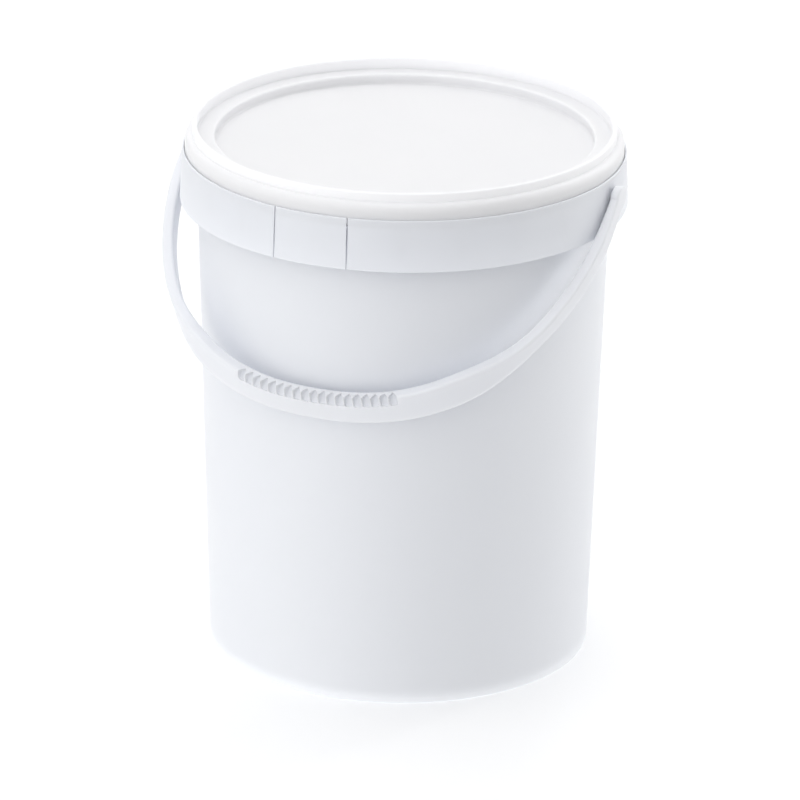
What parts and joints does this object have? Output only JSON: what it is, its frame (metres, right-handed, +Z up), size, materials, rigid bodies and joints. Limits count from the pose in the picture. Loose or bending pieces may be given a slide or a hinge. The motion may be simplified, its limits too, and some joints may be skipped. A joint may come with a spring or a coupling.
{
  "type": "bucket with lid",
  "caption": "Tall tapered plastic bucket with a standing collar, a tear tab, a pressed-on recessed lid and a swinging plastic bail handle with a notched grip.",
  "frame": {"origin": "on the bucket's axis, on the surface that its foot ring stands on", "axes": "+Z up along the bucket's axis, X along the handle's pivots, and -Y the front, where the handle hangs and the tear tab is"},
  "size_m": [0.316, 0.302, 0.3682],
  "materials": {
    "bucket": "fine satin moulded polypropylene, slightly translucent white",
    "lid": "smooth satin moulded polypropylene, white",
    "handle": "satin moulded polypropylene, white"
  },
  "bodies": {
    "bucket": {"bucket": "bucket"},
    "lid": {"lid": "lid"},
    "handle": {"handle": "handle"}
  },
  "joints": [
    {"name": "handle_swing", "type": "hinge", "parent": "bucket", "child": "handle", "pos_m": [0, 0, 0.3382], "axis": [-1, 0, 0], "range_deg": [0, 258.3]},
    {"name": "lid_lift", "type": "slide", "parent": "bucket", "child": "lid", "axis": [0, 0, 1], "range_m": [0, 0.15]}
  ]
}
